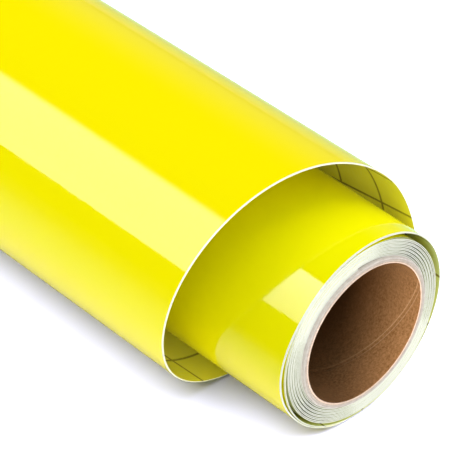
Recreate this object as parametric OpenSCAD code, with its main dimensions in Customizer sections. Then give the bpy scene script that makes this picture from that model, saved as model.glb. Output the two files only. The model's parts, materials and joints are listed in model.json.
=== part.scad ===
// A part-used roll of adhesive sign vinyl on a spiral-wound paper core, lying on its side.
// The web (gloss film, adhesive-backed, on a release liner) is tight on the core, then makes one
// loose wrap flush with the pack, crosses to a slack outer turn that stands back along the axis,
// and ends in a short flat tail on the surface. Millimetres, +Z up.
// The origin is on the core's axis at mid-length. +X runs along the axis to the near end.
// Turn angles are measured from +Y towards +Z. They grow as the web winds outward, turn after turn.

/* [Core] */
// Radius of the hole through the core
bore_r = 17; // [16:0.5:18]
// Thickness of the inner kraft ply
inner_ply_t = 0.4; // [0.3:0.05:0.5]
// Thickness of the middle board ply
middle_ply_t = 0.5; // [0.4:0.05:0.6]
// Thickness of the outer grey ply
outer_ply_t = 0.5; // [0.4:0.05:0.6]
// How far the core stands out of the pack at each end
core_proud = 0.75; // [0.5:0.05:1]

/* [Web] */
// Width of the vinyl, along the roll
web_w = 305; // [300:1:310]
// Thickness of the film with its adhesive
film_t = 0.1; // [0.08:0.01:0.12]
// Thickness of the release liner
liner_t = 0.2; // [0.16:0.01:0.22]
// Thickness of the tape that starts the web on the core
tape_t = 0.1; // [0.06:0.01:0.12]
// Length of that tape around the core, in degrees
tape_sweep = 62; // [45:1:80]

/* [Pack] */
// Full turns wound tight on the core
pack_turns = 12; // [8:1:12]
// Air between one tight turn and the next
turn_air = 0.01; // [0.005:0.005:0.02]

/* [Loose wrap] */
// Air between the pack and the loose wrap where they are closest
wrap_gap = 0.33; // [0.32:0.01:0.36]
// Extra air on the upper right
high_bulge = 1.4; // [1:0.1:1.6]
// Extra air on the lower left
low_bulge = 0.6; // [0.3:0.1:0.6]
// How far the second lap lifts off the first
lap_lift = 1; // [0.5:0.1:1]
// Air between the two laps where they lie together
lap_air = 0.02; // [0.02:0.005:0.03]
// More air under the crossing, so that it passes clear over the wrap
cross_air = 0.3; // [0.25:0.05:0.35]

/* [Outer turn] */
// Outer radius of the slack turn at its near rim
rim_r = 30.6; // [30:0.1:31]
// Outer radius of the slack turn at its far rim
far_r = 26.4; // [26.2:0.1:26.8]
// Sideways shift of the near rim's centre
rim_shift = -5.6; // [-6:0.1:-5]
// Sideways shift of the far rim's centre
far_shift = -2.5; // [-3:0.1:-2]
// How far the web's edge steps back along the axis in one turn
step_back = 31.8; // [28:0.1:34]
// Height of the core's axis above the surface it lies on
axis_h = 23.87; // [23.85:0.01:24]

/* [Tail] */
// Where the flat run ends and the liftable tail starts, sideways from the axis
tail_y = 30; // [29:1:32]
// Where the liner can be peeled from
peel_y = 36; // [35:1:38]
// Where the web ends
end_y = 46; // [44:1:48]

/* [Hidden] */
$fn = 96;
step = 3;                               // degrees between two rulings of a swept stretch

core_len = web_w + 2 * core_proud;
middle_r = bore_r + inner_ply_t;
outer_ply_r = middle_r + middle_ply_t;
core_r = outer_ply_r + outer_ply_t;
web_t = film_t + liner_t;
pitch = web_t + turn_air;               // radial growth of one tight turn
pack_r0 = core_r + tape_t;
pack_r1 = pack_r0 + pack_turns * pitch;
wrap_r = pack_r1 + wrap_gap;            // inner radius of the loose wrap where it is closest

// Turn angles where one stretch of the web hands over to the next
pack_end = 96;
wrap_start = 126;
wrap_end = 603;
cross_end = 756;
turn_end = 990;                         // the bottom of the outer turn, on the surface

high_dir = 36;                          // direction of the loose wrap's high bulge
lap_from = 430;                         // where the second lap starts to climb over the first
lap_to = 480;
lift_from = 495;                        // where the second lap stands clear of the first
lift_to = 582;
air_from = 640;                         // where the crossing eases clear of the wrap beneath it
air_to = 690;
leave_from = 690;                       // where the web leaves the loose wrap for the outer turn
leave_to = 756;
ramp = 60;                              // degrees over which the edge starts and stops stepping back
back_from = 603;
back_to = 990;

FILM = [liner_t, web_t];                // each layer as offsets from the web's inner face
LINER = [0, liner_t];
NEAR = 0;
FAR = 1;

yellow = "#f6ec10";
liner_white = "#e9ead6";
kraft = "#a5754a";
grey_board = "#c9b8ac";

// 0 before a, 1 after b and smooth between
function ease(a, b, t) = let (u = max(0, min(1, (t - a) / (b - a)))) u * u * (3 - 2 * u);

// The loose wrap isn't round: it stands off the pack on the upper right and the lower left
function bulge(t) = let (c = cos(t - high_dir))
    (c > 0 ? high_bulge : low_bulge) * c * c;

// A single low hump between two angles
function hump(a, b, t) = t <= a || t >= b ? 0 : pow(sin(180 * (t - a) / (b - a)), 2);

// Radius of the web's inner face where it follows the loose wrap
function wrap_radius(t) = wrap_r + bulge(t)
    + (web_t + lap_air) * ease(lap_from, lap_to, t)
    + lap_lift * hump(lift_from, lift_to, t)
    + cross_air * ease(air_from, air_to, t);

function wrap_point(t) = wrap_radius(t) * [cos(t), sin(t)];

// The lead climbs from the end of the pack to the start of the loose wrap
function lead_point(t) = let (u = ease(pack_end, wrap_start, t))
    ((1 - u) * (pack_r1 + turn_air) + u * wrap_radius(t)) * [cos(t), sin(t)];

// The outer turn is a slightly tapered ring that rests on the surface
function turn_point(t, end) =
    let (r = end == NEAR ? rim_r : far_r, shift = end == NEAR ? rim_shift : far_shift)
    [shift, r - axis_h] + (r - web_t) * [cos(t), sin(t)];

// The web's inner face in the YZ plane: loose wrap, crossing and outer turn in one path
function web_point(t, end) = let (w = ease(leave_from, leave_to, t))
    w == 0 ? wrap_point(t) : (1 - w) * wrap_point(t) + w * turn_point(t, end);

// How far the web's edges stand back along the axis at a turn angle
function set_back(t) = let (g = step_back / 360, a = back_from, b = back_to)
    t < a ? 0 :
    t < a + ramp ? g * pow(t - a, 2) / (2 * ramp) :
    t < b - ramp ? g * (t - a - ramp / 2) :
    t < b ? g * (b - a - 1.5 * ramp + (t - b + ramp) - pow(t - b + ramp, 2) / (2 * ramp)) :
    g * (b - a - ramp);

function path_point(t, end, lead) = lead ? lead_point(t) : web_point(t, end);

// A point of the web at a turn angle, an end and a depth outward from its inner face
function sheet_point(t, end, depth, lead) =
    let (d = 0.5, a = path_point(t - d, end, lead), b = path_point(t + d, end, lead),
         tangent = (b - a) / norm(b - a), p = path_point(t, end, lead)
             + depth * [tangent[1], -tangent[0]])
    [(end == NEAR ? web_w / 2 : -web_w / 2) - set_back(t), p[0], p[1]];

// Closed skin over a row of four-point sections. The inner face is split along the same diagonal
// as the outer one, so that film and liner meet face to face.
function skin_faces(n) = concat(
    [[0, 1, 2], [0, 2, 3]],
    [for (i = [0 : n - 2], k = [0 : 3]) let (a = 4 * i + k, b = 4 * i + (k + 1) % 4)
        each k == 3 ? [[a, a + 4, b], [a + 4, b + 4, b]] : [[a, a + 4, b + 4], [a, b + 4, b]]],
    [let (e = 4 * (n - 1)) each [[e, e + 2, e + 1], [e, e + 3, e + 2]]]);

// One layer of the web between two turn angles
module web_layer(from, to, layer, lead = false) {
    stations = [for (t = [from : step : to]) t];
    points = [for (t = stations) each [
        sheet_point(t, NEAR, layer[0], lead), sheet_point(t, NEAR, layer[1], lead),
        sheet_point(t, FAR, layer[1], lead), sheet_point(t, FAR, layer[0], lead)]];
    polyhedron(points, skin_faces(len(stations)));
}

// Puts a shape drawn in XY and raised along Z onto the roll's axis, centred on the origin
module along_axis(length) {
    rotate([90, 0, 90]) translate([0, 0, -length / 2]) children();
}

module tube(r, t, length) {
    along_axis(length) rotate_extrude() translate([r, 0]) square([t, length]);
}

module half_ring(r, t, length) {
    rotate_extrude(angle = 180) translate([r, 0]) square([t, length]);
}

// A true spiral strip: half rings about two centres, each turn one pitch further out
module spiral(r, t, length) {
    along_axis(length) rotate([0, 0, pack_end]) for (i = [0 : pack_turns - 1]) {
        half_ring(r + i * pitch, t, length);
        translate([pitch / 2, 0, 0]) rotate([0, 0, 180])
            half_ring(r + (i + 0.5) * pitch, t, length);
    }
}

// A flat layer of the web on the surface, between two lines along the roll
module flat_layer(near_y, far_y, to_y, layer) {
    near_x = web_w / 2 - set_back(back_to);
    translate([0, 0, web_t - axis_h - layer[1]]) linear_extrude(layer[1] - layer[0])
        polygon([[near_x, near_y], [near_x, to_y], [near_x - web_w, to_y],
            [near_x - web_w, far_y]]);
}

module core_inner_ply() color(kraft) tube(bore_r, inner_ply_t, core_len);
module core_middle_ply() color(grey_board) tube(middle_r, middle_ply_t, core_len);
module core_outer_ply() color(grey_board) tube(outer_ply_r, outer_ply_t, core_len);

module start_tape() color("white") along_axis(web_w) rotate([0, 0, pack_end])
    rotate_extrude(angle = tape_sweep) translate([core_r, 0]) square([tape_t, web_w]);

module pack_film() color(yellow) spiral(pack_r0 + liner_t, film_t, web_w);
module pack_liner() color(liner_white) spiral(pack_r0, liner_t, web_w);

module lead_film() color(yellow) web_layer(pack_end, wrap_start, FILM, true);
module lead_liner() color(liner_white) web_layer(pack_end, wrap_start, LINER, true);

module wrap_film() color(yellow) web_layer(wrap_start, wrap_end, FILM);
module wrap_liner() color(liner_white) web_layer(wrap_start, wrap_end, LINER);

module crossing_film() color(yellow) web_layer(wrap_end, cross_end, FILM);
module crossing_liner() color(liner_white) web_layer(wrap_end, cross_end, LINER);

module outer_turn_film() color(yellow) web_layer(cross_end, turn_end, FILM);
module outer_turn_liner() color(liner_white) web_layer(cross_end, turn_end, LINER);

module floor_run_film() color(yellow) flat_layer(rim_shift, far_shift, tail_y, FILM);
module floor_run_liner() color(liner_white) flat_layer(rim_shift, far_shift, tail_y, LINER);

module tail_film() color(yellow) flat_layer(tail_y, tail_y, end_y, FILM);
module tail_liner() color(liner_white) flat_layer(tail_y, tail_y, peel_y, LINER);
module peel_liner() color(liner_white) flat_layer(peel_y, peel_y, end_y, LINER);

core_inner_ply();
core_middle_ply();
core_outer_ply();
start_tape();
pack_film();
pack_liner();
lead_film();
lead_liner();
wrap_film();
wrap_liner();
crossing_film();
crossing_liner();
outer_turn_film();
outer_turn_liner();
floor_run_film();
floor_run_liner();
tail_film();
tail_liner();
peel_liner();
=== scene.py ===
"""Looks for a part-used roll of gloss yellow sign vinyl on a spiral-wound paper core.

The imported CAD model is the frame. Every stretch of the web is rebuilt here as a fine sheet on the
same path as its CAD solid, so that film and liner curve smoothly and carry their printed grid.
Lengths are millimetres until a mesh is made, turn angles are degrees from +Y towards +Z, and the
camera, the lamps and the node trees are in metres.
"""

import json

import bmesh
import bpy
import numpy as np
from mathutils import Matrix, Vector


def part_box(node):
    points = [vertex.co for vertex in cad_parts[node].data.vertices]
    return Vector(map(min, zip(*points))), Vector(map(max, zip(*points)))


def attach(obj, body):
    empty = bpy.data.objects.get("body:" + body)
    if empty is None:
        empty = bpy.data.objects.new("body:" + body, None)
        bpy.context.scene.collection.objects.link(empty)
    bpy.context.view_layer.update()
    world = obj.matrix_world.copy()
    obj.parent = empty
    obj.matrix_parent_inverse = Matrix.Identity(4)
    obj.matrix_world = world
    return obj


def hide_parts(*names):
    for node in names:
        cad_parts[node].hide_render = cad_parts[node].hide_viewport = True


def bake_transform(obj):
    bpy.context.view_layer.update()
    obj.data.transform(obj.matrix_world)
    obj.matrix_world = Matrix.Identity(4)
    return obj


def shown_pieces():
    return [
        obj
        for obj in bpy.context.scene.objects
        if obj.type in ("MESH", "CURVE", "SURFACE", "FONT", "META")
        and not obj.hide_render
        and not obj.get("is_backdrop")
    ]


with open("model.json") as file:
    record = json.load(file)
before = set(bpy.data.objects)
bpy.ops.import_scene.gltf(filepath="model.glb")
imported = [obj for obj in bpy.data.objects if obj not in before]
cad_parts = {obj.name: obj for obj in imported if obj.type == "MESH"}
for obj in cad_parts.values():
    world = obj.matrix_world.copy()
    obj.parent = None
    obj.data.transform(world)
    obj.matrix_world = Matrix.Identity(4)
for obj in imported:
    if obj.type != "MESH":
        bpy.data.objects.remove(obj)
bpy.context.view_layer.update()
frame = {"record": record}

# ------------------------------------------------------------------ sizes, from the frame

MM = 0.001
near_end_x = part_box("wrap_film")[1].x / MM
web_w = 2 * near_end_x
core_end_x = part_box("core_inner_ply")[1].x / MM
axis_h = -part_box("floor_run_film")[0].z / MM
core_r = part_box("core_outer_ply")[1].z / MM
floor_end_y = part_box("floor_run_film")[1].y / MM
peel_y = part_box("peel_liner")[0].y / MM
end_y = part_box("tail_film")[1].y / MM
bore_r = next(m["dims"]["r_mm"] for m in frame["record"]["mounts"] if m["name"] == "core_bore")

# ------------------------------------------------------------------ sizes, as in the design

inner_ply_t, middle_ply_t = 0.4, 0.5
film_t, liner_t, tape_t = 0.1, 0.2, 0.1
tape_sweep = 62                         # degrees of the core that the start tape covers
pack_turns, turn_air = 12, 0.01         # tight turns, and the air between two of them
wrap_gap = 0.33                         # least air between the pack and the loose wrap
high_bulge, low_bulge = 1.4, 0.6        # more air on the upper right and on the lower left
lap_air, lap_lift = 0.02, 1             # air between the wrap's two laps, and a further lift
cross_air = 0.3                         # more air under the crossing
rim_r, far_r = 30.6, 26.4               # radius of the slack turn at the near and the far rim
rim_shift, far_shift = -5.6, -2.5       # how far the centres of both rims are from the roll's
step_back = 31.8                        # how far the web's edge steps back in one turn

web_t = film_t + liner_t
pitch = web_t + turn_air
wrap_r = core_r + tape_t + pack_turns * pitch + wrap_gap

# Turn angles: where the stretches end, then where each change of the path begins and ends.
pack_end, wrap_start, wrap_end, cross_end, turn_end = 96, 126, 603, 756, 990
tape_end = pack_end + tape_sweep
high_dir = 36                           # direction of the loose wrap's high bulge
lap_from, lap_to = 430, 480             # the second lap climbs over the first
lift_from, lift_to = 495, 582           # the second lap stands clear of the first
air_from, air_to = 640, 690             # the crossing eases clear of the wrap
leave_from, leave_to = 690, cross_end   # the web leaves the wrap for the slack turn
back_from, back_to = wrap_end, turn_end  # the edge steps back
ramp = 60                               # degrees over which it starts and stops doing so

FILM = (liner_t, web_t)                 # depths of a layer's faces from the web's inner face
LINER = (0, liner_t)

# ------------------------------------------------------------------ sizes of the looks alone

film_inset = 0.28                       # how far the film stops short of the liner's cut edges
turn_rise, last_rise = 0.344, 0.17      # a pack turn as it looks, and the last, unfinished one
climb_from = 0.9                        # share of a turn after which it climbs to the next one
pack_r1 = core_r + (pack_turns - 1) * turn_rise + last_rise


# ------------------------------------------------------------------ the web's path

def ease(a, b, t):
    """0 before a, 1 after b and smooth between."""
    u = np.clip((t - a) / (b - a), 0, 1)
    return u * u * (3 - 2 * u)


def hump(a, b, t):
    """A single smooth hump between a and b."""
    return np.sin(np.pi * np.clip((t - a) / (b - a), 0, 1)) ** 2


def direction(t):
    """Unit vectors across the roll at turn angles."""
    return np.stack([np.cos(np.radians(t)), np.sin(np.radians(t))], -1)


def wrap_radius(t):
    """Radius of the web's inner face where it follows the loose wrap."""
    c = np.cos(np.radians(t - high_dir))
    bulge = np.where(c > 0, high_bulge, low_bulge) * c * c
    laps = (web_t + lap_air) * ease(lap_from, lap_to, t) + lap_lift * hump(lift_from, lift_to, t)
    return wrap_r + bulge + laps + cross_air * ease(air_from, air_to, t)


def pack_path(t):
    """Inner face of the tight pack, the same at both ends. Each turn is round, climbs over the
    web's buried inner end as it comes to it, and swells a little over the start tape."""
    turns = (t - pack_end) / 360
    whole = np.clip(np.floor(turns), 0, pack_turns - 1)
    rise = np.where(whole < pack_turns - 1, turn_rise, last_rise)
    at = t % 360
    over_tape = ease(pack_end - 12, pack_end - 2, at) - ease(tape_end + 2, tape_end + 14, at)
    r = core_r + turn_rise * whole + rise * ease(climb_from, 1, turns - whole)
    r = r + tape_t * over_tape * (1 - turns / pack_turns)
    return (r[:, None] * direction(t),) * 2


def lead_path(t):
    """Inner face of the lead, which climbs from the pack's end to the loose wrap."""
    u = ease(pack_end, wrap_start, t)
    p = ((1 - u) * pack_r1 + u * wrap_radius(t))[:, None] * direction(t)
    return p, p


def web_path(t):
    """Inner face of loose wrap, crossing and outer turn, at the near end and at the far end."""
    w = ease(leave_from, leave_to, t)[:, None]
    wrap = wrap_radius(t)[:, None] * direction(t)
    ends = []
    for r, shift in ((rim_r, rim_shift), (far_r, far_shift)):
        ring = np.array([shift, r - axis_h]) + (r - web_t) * direction(t)
        ends.append((1 - w) * wrap + w * ring)
    return ends


def set_back(t):
    """How far the web's edges stand back along the axis at a turn angle."""
    g, last = step_back / 360, back_to - back_from - ramp
    starting = g * (t - back_from) ** 2 / (2 * ramp)
    steady = g * (t - back_from - ramp / 2)
    left = np.clip(back_to - t, 0, ramp)
    stopping = g * (last - left**2 / (2 * ramp))
    back = np.where(t < back_from + ramp, starting, np.where(t < back_to - ramp, steady, stopping))
    return np.where(t < back_from, 0, back)


# ------------------------------------------------------------------ mesh building

EDGE_ROUND = 0.03       # how far the middle of a sheet's cut edge stands out from its faces


def grid_faces(rows, columns, start=0, flip=False):
    """Quads of a grid of vertices numbered row by row."""
    i, j = np.meshgrid(np.arange(rows - 1), np.arange(columns - 1), indexing="ij")
    a = (start + i * columns + j).ravel()
    quads = np.stack([a, a + columns, a + columns + 1, a + 1], -1)
    return quads[:, ::-1] if flip else quads


def grid_normals(grid):
    """Unit normals at the points of a grid."""
    normal = np.cross(np.gradient(grid, axis=1), np.gradient(grid, axis=0))
    return normal / np.linalg.norm(normal, axis=-1, keepdims=True)


def use_normals(mesh, corners, normals):
    """Gives smooth faces the normals of their points, with the sign taken from the face."""
    count = len(mesh.polygons)
    corner_count, smooth, flat = np.zeros(count, int), np.zeros(count, bool), np.zeros(count * 3)
    mesh.polygons.foreach_get("loop_total", corner_count)
    mesh.polygons.foreach_get("use_smooth", smooth)
    mesh.polygons.foreach_get("normal", flat)
    face_of = np.repeat(np.arange(count), corner_count)
    flat = flat.reshape(-1, 3)[face_of]
    own = normals[corners]
    own = own * np.sign((own * flat).sum(1) + 1e-9)[:, None]
    mesh.normals_split_custom_set(np.where(smooth[face_of][:, None], own, flat).tolist())


def build(name, points, parts, uv=None, normals=None):
    """A mesh from points in mm and parts = [(faces, material, smooth)]. uv and normals are given
    for each point."""
    mesh = bpy.data.meshes.new(name)
    faces = [f for part in parts for f in part[0].tolist()]
    mesh.from_pydata((np.asarray(points) * MM).tolist(), [], faces)
    turned = bmesh.new()
    turned.from_mesh(mesh)
    bmesh.ops.recalc_face_normals(turned, faces=turned.faces)
    turned.to_mesh(mesh)
    turned.free()
    sizes = [len(part[0]) for part in parts]
    mesh.polygons.foreach_set("material_index", np.repeat(np.arange(len(parts)), sizes))
    mesh.polygons.foreach_set("use_smooth", np.repeat([part[2] for part in parts], sizes))
    for part in parts:
        mesh.materials.append(part[1])
    corners = np.zeros(len(mesh.loops), int)
    mesh.loops.foreach_get("vertex_index", corners)
    if uv is not None:
        layer = mesh.uv_layers.new(name="web")
        layer.data.foreach_set("uv", (uv[corners] * MM).ravel())
    mesh.update()
    if normals is not None:
        use_normals(mesh, corners, normals)
    obj = bpy.data.objects.new(name, mesh)
    bpy.context.scene.collection.objects.link(obj)
    return obj


def web_coordinates(near, edge, share, before):
    """Where the points of a sheet lie along and across the flat web, and the length of web up to
    the sheet's end. The web leans where its edge steps back."""
    length = np.concatenate([[0], np.cumsum(np.linalg.norm(np.diff(near, axis=0), axis=1))])
    lean = np.arctan(-np.gradient(edge, length))
    along = np.concatenate([[0], np.cumsum(np.diff(length) / np.cos(lean[1:]))])
    along = along - along[1] + before
    depth = share * web_w
    uv = np.stack([along[:, None] + depth * np.sin(lean)[:, None],
                   depth * np.cos(lean)[:, None]], -1)
    return uv, along[-2]


def rim_faces(rows, columns):
    """Faces of a sheet's two long edges and of its two ends. Its points are those of the outer
    face, those of the inner face, and two for each row, half-way between the faces."""
    inner, middle = rows * columns, 2 * rows * columns
    row = np.arange(rows)
    edges = []
    for side, column in ((0, 0), (1, columns - 1)):
        above = row * columns + column
        between = middle + 2 * row + side
        for a, b in ((above, between), (between, inner + above)):
            quad = np.stack([a[:-1], b[:-1], b[1:], a[1:]], -1)
            edges.append(quad[:, ::-1] if side else quad)
    ends = []
    for r, turn in ((0, False), (rows - 1, True)):
        across = r * columns + np.arange(columns)
        ring = np.concatenate([across, [middle + 2 * r + 1], inner + across[::-1],
                               [middle + 2 * r]])
        ends.append(ring[::-1] if turn else ring)
    return np.concatenate(edges), np.array(ends)


def sheet(name, t, path, layer, across, looks, wave=None, edge_x=None, before=0, inset=0):
    """One layer of the web as a closed sheet.

    t: turn angles. path: inner face at both ends. layer: depths of its two faces, each a number or
    a function of t. across: shares of the width. looks: materials of the outer face, the inner
    face and the cut edges. wave(t, share) lifts the sheet along its normal. edge_x: where the
    web's near edge is. before: length of web up to this stretch. inset: how far this layer stops
    short of the web's edges. Gives the object, and the length of web up to the stretch's end."""
    step = t[1] - t[0]
    wide = np.concatenate([[t[0] - step], t, [t[-1] + step]])   # one extra row at both ends
    near, far = path(wide)
    edge = near_end_x - set_back(wide) if edge_x is None else edge_x(wide)
    share = inset / web_w + np.asarray(across) * (1 - 2 * inset / web_w)
    base = near[:, None] * (1 - share)[:, None] + far[:, None] * share[:, None]
    x = edge[:, None] - share * web_w
    grid = np.concatenate([x[..., None], base], -1)
    normal = grid_normals(grid)
    if wave is not None:
        grid = grid + normal * wave(wide[:, None], share)[..., None]
        normal = grid_normals(grid)
    low, high = (d(wide) if callable(d) else d + 0 * wide for d in layer)
    outer = grid + normal * high[:, None, None]
    inner = grid + normal * low[:, None, None]
    rims = ((outer + inner) / 2)[:, [0, -1]]
    for column, way in ((0, -1), (-1, 1)):
        outer[:, column, 0] += way * EDGE_ROUND
        inner[:, column, 0] += way * EDGE_ROUND
    uv, end = web_coordinates(near, edge, share, before)

    def in_order(*parts):
        """The values of the outer face, the inner face and the rims, without the extra rows."""
        return np.concatenate([part[1:-1].reshape(-1, part.shape[-1]) for part in parts])
    rows, columns = len(t), len(share)
    edges, ends = rim_faces(rows, columns)
    obj = build(name, in_order(outer, inner, rims), [
        (grid_faces(rows, columns, flip=True), looks[0], True),
        (grid_faces(rows, columns, start=rows * columns), looks[1], True),
        (edges, looks[2], False),
        (ends, looks[2], False)],
        in_order(uv, uv, uv[:, [0, -1]]), in_order(normal, normal, normal[:, [0, -1]]))
    return obj, end


def lathe(name, profile, count, looks, shift):
    """A closed ring swept about the roll's axis in count steps. profile: [(x, r, look)], each look
    being the one of the face that starts there. shift(x, r, angle) gives changes of x and r."""
    xs, rs = (np.array([p[k] for p in profile], float) for k in (0, 1))
    a = np.radians(np.arange(count) * 360 / count)
    x, r = xs + 0 * a[:, None], rs + 0 * a[:, None]
    dx, dr = shift(x, r, a[:, None] + 0 * xs)
    x, r = x + dx, r + dr
    points = np.stack([x, r * np.cos(a)[:, None], r * np.sin(a)[:, None]], -1).reshape(-1, 3)
    columns = len(profile)
    row = np.arange(count) * columns
    next_row = np.roll(row, -1)
    by_look = {}
    for j, p in enumerate(profile):
        following = (j + 1) % columns
        quads = np.stack([row + j, row + following, next_row + following, next_row + j], -1)
        by_look.setdefault(p[2], []).append(quads)
    return build(name, points, [(np.concatenate(q), looks[n], True) for n, q in by_look.items()])


# ------------------------------------------------------------------ materials

class Nodes:
    """Short names for building the node tree of a material, a lamp or the world."""

    def __init__(self, owner):
        self.owner = owner
        owner.use_nodes = True
        self.tree = owner.node_tree
        self.shader = self.tree.nodes.get("Principled BSDF")

    def add(self, kind, inputs=None, **settings):
        node = self.tree.nodes.new("ShaderNode" + kind)
        for key, value in settings.items():
            setattr(node, key, value)
        for key, value in (inputs or {}).items():
            self.put(node, key, value)
        return node

    def put(self, node, key, value):
        if isinstance(value, bpy.types.NodeSocket):
            self.tree.links.new(value, node.inputs[key])
        else:
            node.inputs[key].default_value = value

    def set(self, **values):
        for key, value in values.items():
            self.put(self.shader, key.replace("_", " "), value)

    def math(self, operation, a, b=0.0):
        return self.add("Math", {0: a, 1: b}, operation=operation).outputs[0]

    def mix(self, share, a, b):
        node = self.add("Mix", data_type="RGBA")
        for key, value in ((0, share), (6, a), (7, b)):
            self.put(node, key, value)
        return node.outputs[2]

    def band(self, value, low, high, to_low=0.0, to_high=1.0):
        """value moved from the range low..high to to_low..to_high, smoothly and clamped."""
        node = self.add("MapRange", {"Value": value, "From Min": low, "From Max": high,
                                     "To Min": to_low, "To Max": to_high},
                        interpolation_type="SMOOTHSTEP")
        return node.outputs[0]

    def noise(self, scale, detail=3.0, stretch=(1, 1, 1), on_web=False, rough=0.5):
        """Noise in the object's space, or laid along the web's own coordinates."""
        if on_web:
            at = self.add("UVMap", uv_map="web").outputs[0]
        else:
            at = self.add("TexCoord").outputs["Object"]
        moved = self.add("Mapping", {"Vector": at, "Scale": stretch}).outputs[0]
        return self.add("TexNoise", {"Vector": moved, "Scale": scale, "Detail": detail,
                                     "Roughness": rough}).outputs[0]

    def bump(self, height, strength, distance):
        node = self.add("Bump", {"Height": height, "Strength": strength, "Distance": distance})
        self.put(self.shader, "Normal", node.outputs[0])


def rgb(r, g, b):
    return (r, g, b, 1.0)


def new_look(name):
    return Nodes(bpy.data.materials.new(name))


def gloss_film():
    n = new_look("gloss_vinyl")
    cloud = n.noise(9.0, 2.0)
    n.set(Base_Color=n.mix(n.band(cloud, 0.3, 0.7), rgb(1.0, 0.90, 0.0), rgb(0.99, 0.885, 0.0)),
          Roughness=n.band(n.noise(600.0, 3.0), 0.25, 0.8, 0.045, 0.085))
    n.shader.inputs["IOR"].default_value = 1.47
    n.bump(n.noise(260.0, 2.0), 0.04, 0.0002)
    return n.owner


def adhesive_side():
    n = new_look("adhesive_side")
    n.set(Base_Color=n.mix(n.noise(120.0), rgb(0.83, 0.77, 0.22), rgb(0.9, 0.84, 0.32)),
          Roughness=n.band(n.noise(700.0, 5.0), 0.3, 0.7, 0.3, 0.45))
    n.bump(n.noise(1500.0, 4.0), 0.2, 0.0002)
    return n.owner


def film_edge():
    n = new_look("film_cut_edge")
    # The film's cut edges are whitish instead of the film's yellow: a painted highlight along the
    # edges, where their corners catch the light.
    n.set(Base_Color=n.mix(n.noise(900.0, 4.0), rgb(0.93, 0.93, 0.72), rgb(0.99, 0.99, 0.84)),
          Roughness=0.5)
    n.bump(n.noise(4000.0, 4.0), 0.3, 0.00005)
    return n.owner


def paper_edge():
    n = new_look("liner_cut_edge")
    n.set(Base_Color=n.mix(n.noise(1200.0, 5.0), rgb(0.90, 0.90, 0.82), rgb(0.96, 0.96, 0.89)),
          Roughness=0.7)
    n.bump(n.noise(6000.0, 4.0), 0.4, 0.00005)
    return n.owner


GRID_ALONG = (12.264 * MM, 9.11 * MM)   # spacing along the web, and where one line falls
GRID_ACROSS = (12.7 * MM, 9.3 * MM)     # the same across it: the usual half-inch grid
GRID_LINE = 0.62 * MM                   # width of a line
GRID_INK = rgb(0.33, 0.30, 0.04)


def grid_line(n, coordinate, spacing, phase):
    """1 on the printed lines and 0 between them, along one web coordinate."""
    turns = n.math("DIVIDE", n.math("SUBTRACT", coordinate, phase), spacing)
    off = n.math("ABSOLUTE", n.math("SUBTRACT", n.math("FRACT", n.math("ADD", turns, 0.5)), 0.5))
    half = GRID_LINE / spacing / 2
    return n.band(off, half * 1.5, half * 0.5)


def paper_look(name, grid, low, high):
    """Liner paper between two colours, with fibres, and with the printed grid if grid is True."""
    n = new_look(name)
    fibre = n.noise(500.0, 6.0, (1, 2.5, 1), on_web=True, rough=0.6)
    cloud = n.noise(60.0, 3.0, on_web=True)
    paper = n.mix(n.band(cloud, 0.35, 0.65), rgb(*low), rgb(*high))
    if grid:
        split = n.add("SeparateXYZ", {0: n.add("UVMap", uv_map="web").outputs[0]})
        lines = n.math("MAXIMUM", grid_line(n, split.outputs[0], *GRID_ALONG),
                       grid_line(n, split.outputs[1], *GRID_ACROSS))
        worn = n.math("MULTIPLY", lines, n.band(fibre, 0.25, 0.5, 0.75, 1.0))
        paper = n.mix(worn, paper, GRID_INK)
    n.set(Base_Color=paper, Roughness=n.band(fibre, 0.3, 0.7, 0.32, 0.46))
    n.bump(fibre, 0.15, 0.0001)
    return n.owner


SEAM_PITCH = 37.2       # length of core for one turn of the kraft ply's seam
SEAM_PHASE = 0.576      # where the seam starts, as a share of a turn
SEAM_GAP = 0.9          # width of the seam between two turns of the ply
SEAM_DEPTH = 0.07
SEAM_SOFT = 0.12        # half the width of the slope at each of its edges
KRAFT_DARK, KRAFT_LIGHT = rgb(0.135, 0.06, 0.016), rgb(0.30, 0.155, 0.068)
KRAFT_DEEP_SHADE = rgb(0.085, 0.025, 0.002)   # painted shade deep inside the bore
KRAFT_LIP = rgb(0.6, 0.4, 0.24)         # the seam's paler edges near the mouth, fading into the painted shade deeper in


def seam_lip(n, x, turn):
    """1 on both edges of the kraft ply's spiral seam and 0 away from them."""
    whole_turns = 8     # keeps the sum above zero
    along = n.math("DIVIDE", x, SEAM_PITCH * MM)
    helix = n.math("FRACT", n.math("ADD", n.math("SUBTRACT", along, turn), whole_turns - SEAM_PHASE))
    off = n.math("MULTIPLY", n.math("ABSOLUTE", n.math("SUBTRACT", helix, 0.5)), SEAM_PITCH * MM)
    from_edge = n.math("ABSOLUTE", n.math("SUBTRACT", off, SEAM_GAP * MM / 2))
    return n.band(from_edge, 0.16 * MM, 0.05 * MM)


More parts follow.
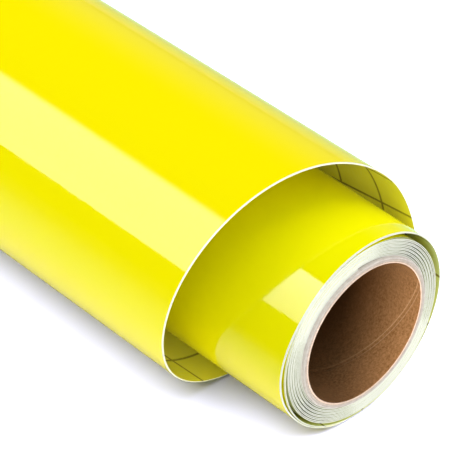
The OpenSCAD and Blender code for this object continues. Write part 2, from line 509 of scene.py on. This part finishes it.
def kraft_look():
    """Brown paper with painted shade deep in the bore, and the pale lip of its seam near the mouth.
    """
    n = new_look("kraft_paper")
    x, y, z = n.add("SeparateXYZ", {0: n.add("TexCoord").outputs["Object"]}).outputs[:3]
    turn = n.math("DIVIDE", n.math("ARCTAN2", z, y), 2 * np.pi)
    depth = n.math("SUBTRACT", core_end_x * MM, n.math("ABSOLUTE", x))
    fibre = n.noise(2200.0, 5.0, (1.0, 0.7, 0.7), rough=0.75)
    cloud = n.noise(160.0, 4.0)
    brown = n.mix(n.band(fibre, 0.3, 0.7), KRAFT_DARK, KRAFT_LIGHT)
    brown = n.mix(n.band(cloud, 0.35, 0.7, 0.0, 0.25), brown, KRAFT_LIGHT)
    # painted shade: the paper darkens more and more with depth into the bore
    brown = n.mix(n.band(depth, 0.004, 0.024, 0.0, 0.88), brown, KRAFT_DEEP_SHADE)
    # the seam's pale lip is the paper's own colour; it fades out with depth as painted shade
    lip = n.math("MULTIPLY", seam_lip(n, x, turn), n.band(depth, 0.006, 0.013, 0.26, 0.0))
    brown = n.mix(lip, brown, KRAFT_LIP)
    n.set(Base_Color=brown, Roughness=n.band(fibre, 0.3, 0.7, 0.55, 0.8))
    n.shader.inputs["Specular IOR Level"].default_value = 0.2
    n.bump(fibre, 0.45, 0.00025)
    return n.owner


def board_look(name, low, high):
    """Rough grey or brown board between two colours."""
    n = new_look(name)
    fibre = n.noise(1100.0, 6.0, rough=0.65)
    n.set(Base_Color=n.mix(n.band(fibre, 0.3, 0.7), rgb(*low), rgb(*high)), Roughness=0.85)
    n.bump(fibre, 0.5, 0.0001)
    return n.owner


def tape_look():
    n = new_look("tape")
    n.set(Base_Color=n.mix(n.noise(300.0), rgb(0.78, 0.78, 0.74), rgb(0.88, 0.88, 0.84)),
          Roughness=n.band(n.noise(900.0), 0.3, 0.7, 0.4, 0.55))
    n.bump(n.noise(900.0), 0.2, 0.0001)
    return n.owner


# The looks of a layer: its outer face, its inner face and its cut edges.
FILM_LOOKS = (gloss_film(), adhesive_side(), film_edge())
# The liner is white paper. The yellow base colour of its printed side is a painted glow of the light
# that comes through the film.
LINER_LOOKS = (paper_look("liner_release_side", False, (0.93, 0.94, 0.86), (0.98, 0.98, 0.92)),
               paper_look("liner_printed_side", True, (0.94, 0.91, 0.09), (1.0, 0.97, 0.12)),
               paper_edge())
# On the wound turns the printed side has the same painted glow of light through the film, in a
# greener tint.
WOUND_LINER_LOOKS = (LINER_LOOKS[0],
                     paper_look("liner_printed_side_wound", True,
                                (0.90, 0.95, 0.32), (0.94, 0.98, 0.37)),
                     LINER_LOOKS[2])
# The pack's liner: darker copies of both liner faces, painted shade between the tight turns. The
# printed side also keeps its painted yellow glow of light through the film.
PACK_LINER_PAINTED_SHADE_LOOKS = (paper_look("liner_release_side_shut_in", False,
                               (0.56, 0.58, 0.36), (0.62, 0.64, 0.40)),
                    paper_look("liner_printed_side_shut_in", True,
                               (0.54, 0.57, 0.26), (0.60, 0.63, 0.30)),
                    LINER_LOOKS[2])
KRAFT = kraft_look()
KRAFT_CUT = board_look("kraft_cut_edge", (0.60, 0.44, 0.35), (0.72, 0.56, 0.47))
BOARD = board_look("grey_board", (0.60, 0.49, 0.43), (0.70, 0.59, 0.53))
BOARD_GREY = board_look("grey_board_outer", (0.63, 0.55, 0.51), (0.75, 0.67, 0.63))
TAPE = tape_look()


# ------------------------------------------------------------------ the web

rng = np.random.default_rng(12)


def shares(count):
    """Shares of the width from edge to edge, closer together next to the edges."""
    near_edge = np.array([0, 0.0006, 0.002, 0.006])
    inside = np.linspace(0.012, 1 - 0.012, count)
    return np.concatenate([near_edge, inside, 1 - near_edge[::-1]])


def ripple(t, share):
    """Faint unevenness of the slack web, dying away where it lies on something."""
    slack = ease(leave_from, leave_to + 20, t) * (1 - ease(turn_end - 60, turn_end, t))
    soft = 0.05 * np.sin(np.radians(2.3 * t) + 5.1 * share) * np.sin(9.4 * share + 0.6)
    long = 0.06 * np.sin(np.radians(1.3 * t + 40) + 2.2 * np.cos(4.0 * share))
    return slack * (soft + long)


def angles(a, b, step):
    return np.linspace(a, b, int(round((b - a) / step)) + 1)


def web_stretch(name, span, path, kind, body, columns=41, **more):
    """Film or liner along one stretch of the web, riding on a body. A stretch given two bodies to
    blend between is attached to neither and keeps its place as built. more goes to sheet().
    Gives the length of web up to the stretch's end."""
    wound = name in ("lead", "wrap")
    layer, looks, slot = ((FILM, FILM_LOOKS, "vinyl_film") if kind == "film" else
                          (LINER, WOUND_LINER_LOOKS if wound else LINER_LOOKS, "release_liner"))
    obj, length = sheet(f"{name}_{kind}_web", span, path, layer, shares(columns), looks,
                        inset=film_inset if kind == "film" else 0, **more)
    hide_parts(f"{name}_{kind}")
    if isinstance(body, str):
        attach(obj, body)
    else:
        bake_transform(obj)
    return length


def point(y, z):
    return (0, y * MM, z * MM)


LEAD_BLEND = ("wound_core", "loose_wrap",
              point(*(pack_r1 * direction(pack_end))), point(*(wrap_r * direction(wrap_start))))
CROSS_DIR = np.array([0.832, 0.555])    # the way that the crossing runs, as seen from the end
CROSS_FROM, CROSS_TO = -20.0, 29.0      # where it begins and ends, that way from the roll's axis
CROSS_BLEND = ("loose_wrap", "outer_turn",
               point(*(CROSS_FROM * CROSS_DIR)), point(*(CROSS_TO * CROSS_DIR)))

for kind in ("film", "liner"):
    web_stretch("lead", angles(pack_end, wrap_start, 1.0), lead_path, kind, LEAD_BLEND, 21)
    run = web_stretch("wrap", angles(wrap_start, wrap_end, 1.0), web_path, kind, "loose_wrap", 21)
    run = web_stretch("crossing", angles(wrap_end, cross_end, 1.0), web_path, kind, CROSS_BLEND,
                      wave=ripple, before=run)
    web_stretch("outer_turn", angles(cross_end, turn_end, 1.0), web_path, kind, "outer_turn",
                wave=ripple, before=run)


def flat_path(from_near, from_far, to):
    """The web lying flat on the table. t runs from 0 to 1 along the stretch."""
    def path(t):
        ends = []
        for start in (from_near, from_far):
            y = start + (to - start) * t
            ends.append(np.stack([y, web_t - axis_h + 0 * t], -1))
        return ends
    return path


def flat_edge(t):
    return near_end_x - set_back(np.full_like(t, float(back_to)))


TAIL_BLEND = ("outer_turn", "tail", point(floor_end_y, 0), point(peel_y - 0.2, 0))
PEEL_BLEND = ("tail", "liner_flap", point(peel_y, 0), point(end_y - 2, 0))
FLAT_STRETCHES = [
    # node, layer, where it starts at the near and at the far end, where it stops, what it rides on
    ("floor_run", "film", rim_shift, far_shift, floor_end_y, "outer_turn"),
    ("floor_run", "liner", rim_shift, far_shift, floor_end_y, "outer_turn"),
    ("tail", "film", floor_end_y, floor_end_y, end_y, TAIL_BLEND),
    ("tail", "liner", floor_end_y, floor_end_y, peel_y, TAIL_BLEND),
    ("peel", "liner", peel_y, peel_y, end_y, PEEL_BLEND)]
for name, kind, near, far, to, body in FLAT_STRETCHES:
    web_stretch(name, np.linspace(0, 1, 33), flat_path(near, far, to), kind, body,
                edge_x=flat_edge)


# ------------------------------------------------------------------ the tight pack

LOOSE_DIR = 30          # the pack's layers part a little on the upper right and the lower left
WAVINESS = 0.012        # how far the parted layers wave in and out
PAIRING = 0.05          # how far the parted turns lie out and in by turns
FILM_BACK = 2.2         # how far the film's edge stands back from the liner's where they part
WHOLE_BACK = 0.02       # how far the whole pack's edge stands back from the web's
PACK_LINER_T = 0.235    # the liner as it looks in the pack, fuller than it is
THINNER_LINER, THINNER_WEB = 0.06, 0.12     # how much thinner both look where they part
LINER_LIFT = 0.01       # how far the liner lifts off the turn beneath where they part
TURN_GAP = 0.004        # what is left open between one turn and the next


def parted(t):
    """1 in the two directions where the layers part, falling off quickly beside them."""
    return np.abs(np.cos(np.radians(t - LOOSE_DIR))) ** 8


turn_phase = rng.uniform(0, 2 * np.pi, (pack_turns + 2, 2))
turn_step = rng.uniform(-0.05, 0.01, pack_turns + 3)    # how far each turn's edge is from even


def pack_wobble(t, share):
    """Waves of the parted layers, none at the pack's two ends."""
    turn = np.clip(((t - pack_end) / 360).astype(int), 0, pack_turns)
    a = np.radians(t)
    wobble = np.sin(5 * a + turn_phase[turn, 0]) + 0.7 * np.sin(11 * a + turn_phase[turn, 1])
    inside = hump(pack_end, pack_end + 360 * pack_turns, t) ** 0.25
    paired = PAIRING * (1 - 2 * (turn % 2))
    return parted(t) * (WAVINESS * wobble + paired) * inside + 0 * share


def pack_edge(t):
    turns = np.clip((t - pack_end) / 360, 0, pack_turns)
    return near_end_x + np.interp(turns, np.arange(pack_turns + 3), turn_step) - WHOLE_BACK


def pack_film_edge(t):
    return pack_edge(t) - FILM_BACK * parted(t)


def pack_liner_bottom(t):
    return LINER_LIFT * parted(t)


def pack_liner_top(t):
    return PACK_LINER_T - THINNER_LINER * parted(t)


def pack_film_top(t):
    """Fills the turn's rise, and comes down to the web's real thickness at the pack's end."""
    last = ease(pack_end + 360 * (pack_turns - 0.4), pack_end + 360 * pack_turns, t)
    return turn_rise - TURN_GAP - THINNER_WEB * parted(t) - (turn_rise - web_t) * last


PACK_LAYERS = {"film": (pack_liner_top, pack_film_top),
               "liner": (pack_liner_bottom, pack_liner_top)}
for kind in ("film", "liner"):
    looks, slot = ((FILM_LOOKS, "vinyl_film") if kind == "film" else
                   (PACK_LINER_PAINTED_SHADE_LOOKS, "release_liner"))
    obj, _ = sheet(f"pack_{kind}_web", angles(pack_end, pack_end + 360 * pack_turns, 3.0),
                   pack_path, PACK_LAYERS[kind], (0, 0.002, 0.02, 0.98, 0.998, 1), looks,
                   wave=pack_wobble, edge_x=pack_film_edge if kind == "film" else pack_edge)
    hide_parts(f"pack_{kind}")
    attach(obj, "wound_core")


# ------------------------------------------------------------------ the core

CUT_ZONE = 0.5          # the length at both ends of a ply that counts as its cut end
ROUGHNESS = 0.012       # how far the cut ends stand out and back
ROUGH_WAVES = (3, 7, 17, 41)    # waves around the end, each weaker than the one before


def seam(x, angle):
    """How far inside the kraft ply's seam a point of the bore is, from 0 to 1."""
    helix = (x / SEAM_PITCH - angle / (2 * np.pi) - SEAM_PHASE) % 1
    off = np.abs(helix - 0.5) * SEAM_PITCH
    return 1 - ease(SEAM_GAP / 2 - SEAM_SOFT, SEAM_GAP / 2 + SEAM_SOFT, off)


def ply_stations(half, fine=0.3, fine_len=32.0, coarse=4.0):
    """Places along the core, close together near both mouths."""
    near = np.arange(fine_len, 0, -fine)
    middle = np.arange(coarse, half - fine_len, coarse)
    side = np.concatenate([middle, half - near[:-1]])
    return np.concatenate([-side[::-1], [0], side])


def rough_end(seed):
    """How far the points of a cut end stand out or back, as a function of place."""
    phases = np.random.default_rng(seed).uniform(0, 2 * np.pi, len(ROUGH_WAVES))

    def shift(x, angle):
        rough = sum(np.sin(k * angle + phases[i]) / (i + 1) for i, k in enumerate(ROUGH_WAVES))
        return ROUGHNESS * rough * (np.abs(x) > core_end_x - CUT_ZONE)
    return shift


def ply(name, r_in, r_out, stands_back, bore, looks, seed):
    """One ply of the core: inside face, near cut end, outside face, far cut end. stands_back: how
    far its ends are inside the core's."""
    half = core_end_x - stands_back
    rough = rough_end(seed)
    inside = ply_stations(half) if bore else np.linspace(-half + CUT_ZONE, half - CUT_ZONE, 3)
    soft = min(0.08, (r_out - r_in) / 4)
    profile = [(x, r_in, 0) for x in inside]
    profile += [(half - soft, r_in, 1), (half, r_in + soft, 1), (half, r_out - soft, 1),
                (half - soft, r_out, 0)]
    profile += [(-half + soft, r_out, 1), (-half, r_out - soft, 1), (-half, r_in + soft, 1),
                (-half + soft, r_in, 0)]

    def shift(x, r, angle):
        groove = SEAM_DEPTH * seam(x, angle) * (np.abs(r - r_in) < 0.01) if bore else 0 * x
        return rough(x, angle), groove
    return lathe(name, profile, 240 if bore else 144, looks, shift)


middle_r = bore_r + inner_ply_t
outer_ply_r = middle_r + middle_ply_t
for node, r_in, r_out, stands_back, looks, slot, seed in (
        ("core_inner_ply", bore_r, middle_r, 0.0, (KRAFT, KRAFT_CUT), "kraft_ply", 3),
        ("core_middle_ply", middle_r, outer_ply_r, 0.03, (BOARD, BOARD), "grey_board", 4),
        ("core_outer_ply", outer_ply_r, core_r, 0.06, (BOARD_GREY, BOARD_GREY), "grey_board", 5)):
    obj = ply(f"{node}_tube", r_in, r_out, stands_back, node == "core_inner_ply", looks, seed)
    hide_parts(node)
    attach(obj, "wound_core")


def tape_path(t):
    p = core_r * direction(t)
    return p, p


obj, _ = sheet("start_tape_strip", angles(pack_end, tape_end, 1.0), tape_path,
               (0, tape_t), shares(5), (TAPE, TAPE, TAPE))
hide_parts("start_tape")
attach(obj, "wound_core")

# ------------------------------------------------------------------ camera

def toward(azimuth, elevation):
    """The direction from the roll to a place, with the azimuth counted from -Y towards +X."""
    a, e = np.radians(azimuth), np.radians(elevation)
    return Vector((np.sin(a) * np.cos(e), -np.cos(a) * np.cos(e), np.sin(e)))


CAMERA_AZIMUTH, CAMERA_ELEVATION = 46.3, 39.7
CAMERA_LENS = 345.6
CAMERA_DISTANCE = 55 * bore_r * MM      # from the near end of the core
# How far right and up of the line of sight the near end of the core is.
CORE_RIGHT, CORE_UP = 1.725 * bore_r * MM, -1.325 * bore_r * MM


def add_camera():
    back = toward(CAMERA_AZIMUTH, CAMERA_ELEVATION)
    right = toward(CAMERA_AZIMUTH + 90, 0)
    up = back.cross(right)
    camera = bpy.data.objects.new("camera", bpy.data.cameras.new("camera"))
    bpy.context.scene.collection.objects.link(camera)
    camera.data.lens = CAMERA_LENS
    camera.data.clip_start = 0.05
    core_end = Vector((core_end_x * MM, 0, 0))
    camera.location = core_end - CORE_RIGHT * right - CORE_UP * up + CAMERA_DISTANCE * back
    camera.rotation_mode = "QUATERNION"
    camera.rotation_quaternion = Matrix((right, up, back)).transposed().to_quaternion()
    bpy.context.scene.camera = camera


add_camera()

# ------------------------------------------------------------------ studio

def lamp_object(name, size, radiance, colour, place, facing, along):
    """A rectangular area lamp of a given radiance. facing: from the lamp's face to the roll.
    along: roughly the direction of its first side."""
    lamp = bpy.data.lights.new(name, "AREA")
    lamp.shape = "RECTANGLE"
    lamp.size, lamp.size_y = size
    lamp.energy = radiance * np.pi * size[0] * size[1]
    lamp.color = colour
    obj = bpy.data.objects.new(name, lamp)
    bpy.context.scene.collection.objects.link(obj)
    obj.location = place
    z = -facing.normalized()
    x = (along - z * along.dot(z)).normalized()
    obj.rotation_mode = "QUATERNION"
    obj.rotation_quaternion = Matrix((x, z.cross(x), z)).transposed().to_quaternion()
    obj.visible_camera = False
    return obj


def link_to(lamp, pieces):
    """Lets a lamp light only these pieces."""
    group = bpy.data.collections.new(lamp.name + "_receivers")
    for piece in pieces:
        group.objects.link(piece)
    lamp.light_linking.receiver_collection = group


def soft_light(name, azimuth, elevation, distance, size, radiance, colour, receivers):
    """Diffuse light from one direction, which leaves no reflection of its own."""
    away = toward(azimuth, elevation)
    obj = lamp_object(name, size, radiance, colour, away * distance, -away, Vector((1, 0, 0.01)))
    obj.visible_glossy = False
    link_to(obj, receivers)


def softbox(name, at_y, at_z, low, high, centre_x, length, radiances, fade, receivers):
    """A long softbox beside the roll, parallel to it, seen as a pale band in the gloss film.

    low and high: the angles above the horizon, across the roll, between which it stands as seen
    from the line at_y, at_z. radiances: at its low edge and at its high edge. fade: the share of
    its width over which the high edge dies away. receivers: the pieces that it is for."""
    distance = 1.2
    middle, half = np.radians((low + high) / 2), np.radians((high - low) / 2)
    away = Vector((0, -np.cos(middle), np.sin(middle)))
    place = Vector((centre_x, at_y * MM, at_z * MM)) + away * distance
    obj = lamp_object(name, (length, 2 * distance * np.tan(half)), 1.0, (1, 1, 1), place, -away,
                      Vector((1, 0, 0)))
    n = Nodes(obj.data)
    across = n.add("SeparateXYZ", {0: n.add("NewGeometry").outputs["Parametric"]}).outputs[1]
    graded = n.add("MapRange", {"Value": across, "To Min": radiances[0], "To Max": radiances[1]})
    edge = n.band(across, 1 - fade, 1.0, 1.0, 0.0)
    n.put(n.tree.nodes["Emission"], "Strength", n.math("MULTIPLY", graded.outputs[0], edge))
    obj.visible_diffuse = False
    link_to(obj, receivers)


def floor_look():
    """White table. Only the camera sees it at full brightness, so that little bounces off it. It
    glows far away from the roll, where the lamps are too weak to keep it white."""
    n = new_look("white_table")
    is_camera = n.add("LightPath").outputs["Is Camera Ray"]
    place = n.add("TexCoord").outputs["Object"]
    away = n.add("VectorMath", {0: place}, operation="LENGTH").outputs["Value"]
    glow = n.math("MULTIPLY", is_camera, n.band(away, *GLOW_FROM_TO))
    dim = n.mix(n.noise(3.0), rgb(0.345, 0.335, 0.325), rgb(0.365, 0.355, 0.345))
    n.set(Base_Color=n.mix(is_camera, dim, rgb(0.69, 0.70, 1.0)), Roughness=0.9,
          Emission_Color=rgb(1, 1, 1), Emission_Strength=glow)
    n.shader.inputs["Specular IOR Level"].default_value = 0.1
    return n.owner


def flat_square(name, z, material):
    """A horizontal square as large as the table, at height z."""
    mesh = bpy.data.meshes.new(name)
    corners = [(x * FLOOR_HALF, y * FLOOR_HALF, z) for x, y in ((-1, -1), (1, -1), (1, 1), (-1, 1))]
    mesh.from_pydata(corners, [], [(0, 1, 2, 3)])
    mesh.materials.append(material)
    obj = bpy.data.objects.new(name, mesh)
    bpy.context.scene.collection.objects.link(obj)
    obj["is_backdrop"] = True
    return obj


def flag_look():
    """Cloth over the table that only reflections see. It darkens them more and more with distance
    from the roll, and tints them a little close beside it."""
    n = new_look("black_flag")
    x, y = n.add("SeparateXYZ", {0: n.add("TexCoord").outputs["Object"]}).outputs[:2]
    dark = n.math("MAXIMUM", n.band(y, *FLAG_FRONT), n.math("LESS_THAN", y, FLAG_FRONT_BLACK))
    dark = n.math("MAXIMUM", dark, n.band(y, *FLAG_BEHIND))
    beside = n.math("MULTIPLY", n.band(n.math("ABSOLUTE", y), *TINT_ACROSS),
                    n.band(n.math("ABSOLUTE", x), *TINT_ALONG))
    tint = n.mix(beside, rgb(1, 1, 1), rgb(0.58, 1.0, 0.88))
    clear = n.add("BsdfTransparent", {"Color": tint}).outputs[0]
    black = n.add("Emission", {"Color": rgb(0, 0, 0), "Strength": 0.0}).outputs[0]
    cloth = n.add("MixShader", {0: dark, 1: clear, 2: black}).outputs[0]
    n.put(n.tree.nodes["Material Output"], "Surface", cloth)
    return n.owner


def studio_world():
    """It lights the pieces evenly, but what the film reflects of it is darker: grey behind the
    roll and towards its ends, black in front and overhead."""
    n = Nodes(bpy.data.worlds.new("studio"))
    ambient = n.tree.nodes["Background"]
    n.put(ambient, "Color", rgb(0.85, 1.0, 0.97))
    n.put(ambient, "Strength", 0.55)
    x, y, z = n.add("SeparateXYZ", {0: n.add("TexCoord").outputs["Generated"]}).outputs[:3]
    low_down = n.band(z, 0.10, 0.65, 0.6, 0.01)
    behind = n.band(y, -0.35, 0.25, 0.01, 0.5)
    endwise = n.band(n.math("ABSOLUTE", x), 0.65, 0.95, 0.0, 0.8)
    grey = n.math("MAXIMUM", n.math("MULTIPLY", low_down, behind), endwise)
    mirror = n.add("Background", {"Color": grey, "Strength": 1.0})
    is_glossy = n.add("LightPath").outputs["Is Glossy Ray"]
    either = n.add("MixShader", {0: is_glossy, 1: ambient.outputs[0], 2: mirror.outputs[0]})
    n.put(n.tree.nodes["World Output"], "Surface", either.outputs[0])
    return n.owner


FLOOR_HALF = 2.5
GLOW_FROM_TO = (0.25, 0.7)              # distances from the roll between which the glow sets in
# Each band: where it begins and ends in metres from the axis, and its strength at both places.
FLAG_FRONT = (-0.02, -0.15, 0.0, 0.92)
FLAG_FRONT_BLACK = -0.225               # black beyond this
FLAG_BEHIND = (0.05, 0.12, 0.0, 0.5)
TINT_ACROSS = (0.04, 0.06, 0.0, 1.0)
TINT_ALONG = (0.13, 0.17, 1.0, 0.0)
floor_z = -axis_h * MM - 0.00002
floor = flat_square("table", floor_z, floor_look())
flag = flat_square("flag", floor_z + 0.002, flag_look())
for kind in ("camera", "diffuse", "shadow", "transmission"):
    setattr(flag, "visible_" + kind, False)

roll_pieces = [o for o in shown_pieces() if o.name.startswith(("wrap", "lead", "pack", "core"))]
slack_pieces = [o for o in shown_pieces() if o not in roll_pieces]
# name, line y and z, low and high angle, centre and length in metres, radiances, fade, pieces
softbox("loop_softbox", -26, 29, 9.5, 66, -0.75, 1.6, (5.1, 6.0), 0.13, slack_pieces)
softbox("roll_softbox", -17, 17, 27.7, 68.8, -0.62, 1.6, (4.2, 7.9), 0.03, roll_pieces)

all_pieces = roll_pieces + slack_pieces
inner_ply = [o for o in roll_pieces if o.name.startswith("core_inner_ply")]
slack_liner = [o for o in slack_pieces if "liner" in o.name]
slack_film = [o for o in slack_pieces if "film" in o.name]
roll_film = [o for o in roll_pieces if o.name.startswith(("wrap_film", "lead_film"))]
other_pieces = [o for o in all_pieces if o not in roll_film]
# name, azimuth, elevation, distance, size, radiance, colour, pieces
soft_light("overhead", 182, 71, 1.5, (1.5, 1.5), 1.9, (1.0, 0.74, 0.70), other_pieces)
soft_light("roll_overhead", 182, 71, 1.5, (1.5, 1.5), 1.9, (0.93, 0.89, 0.70), roll_film)
soft_light("roll_front", 100, 60, 1.5, (1.2, 1.0), 1.0, (0.80, 1.0, 0.80), roll_film)
soft_light("roll_fill", -50, 38, 1.5, (0.9, 0.7), 0.35, (1.0, 0.96, 0.70), roll_film)
soft_light("left_fill", -30, 35, 1.5, (1.4, 1.0), 1.05, (1.0, 0.82, 0.74), slack_film)
soft_light("front_fill", 70, 35, 1.6, (1.4, 1.0), 0.72, (0.87, 1.0, 0.95), other_pieces)
soft_light("end_light", 88, 22, 1.5, (0.8, 0.8), 0.95, (1.0, 0.96, 1.0), all_pieces)
soft_light("mouth_light", 65, 28, 1.2, (0.6, 0.6), 4.3, (1.0, 0.96, 0.76), slack_liner)
soft_light("bore_light", 22, 15, 1.2, (0.7, 0.7), 16.5, (1.0, 0.92, 0.84), inner_ply)
soft_light("table_light_left", 15, 66, 1.5, (1.2, 1.3), 10.6, (1.0, 0.99, 0.98), [floor])
soft_light("table_light_right", 115, 50, 1.5, (1.0, 1.0), 15.0, (1.0, 0.99, 0.98), [floor])

bpy.context.scene.world = studio_world()
bpy.context.scene.view_settings.view_transform = "Standard"
